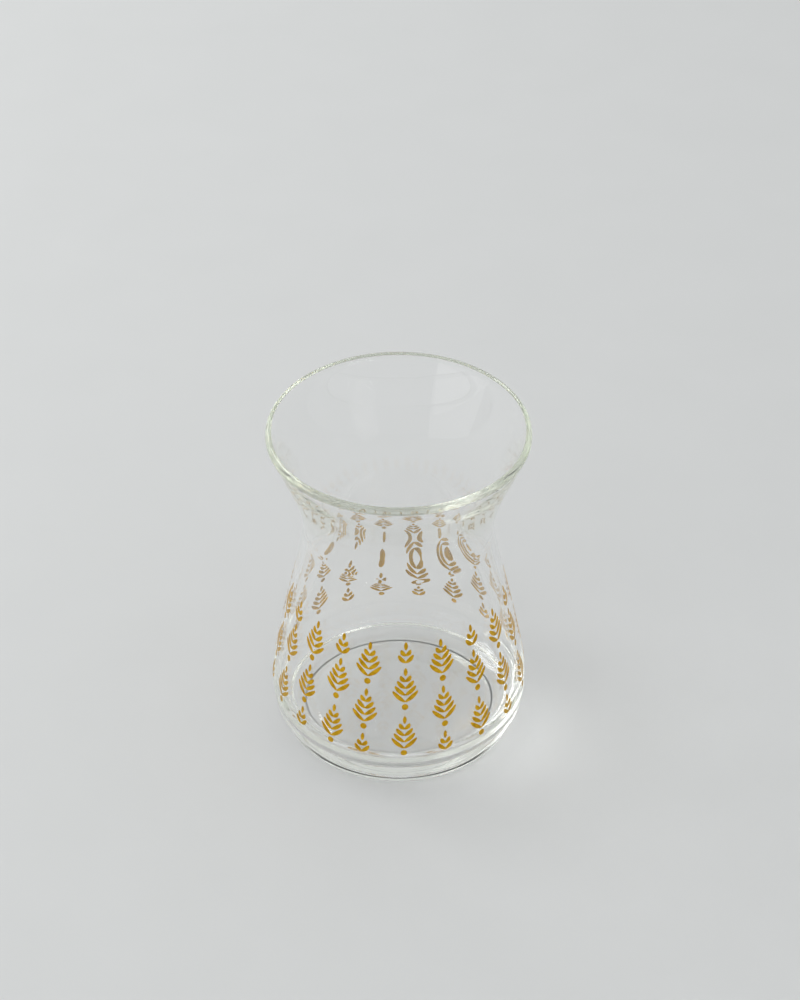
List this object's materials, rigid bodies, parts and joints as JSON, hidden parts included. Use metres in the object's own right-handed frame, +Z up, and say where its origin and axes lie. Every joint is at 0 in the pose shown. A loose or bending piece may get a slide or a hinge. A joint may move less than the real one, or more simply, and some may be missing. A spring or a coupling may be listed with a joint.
{
  "type": "turkish tea glass",
  "caption": "Empty tulip-shaped clear glass for black tea, with a flared mouth, narrow waist, wide low belly, thick foot and fired gold leaf-sprig print.",
  "frame": {"origin": "centre of the base, on the plane that the foot ring stands on", "axes": "+Z up along the axis of the glass, towards the mouth"},
  "size_m": [0.0622, 0.0622, 0.0865],
  "materials": {
    "clear_glass": "smooth, clear, fire-polished at the lip",
    "gold_print": "thin fired gold lustre, slightly brushed"
  },
  "bodies": {
    "root": {"glass": "clear_glass"}
  },
  "joints": []
}
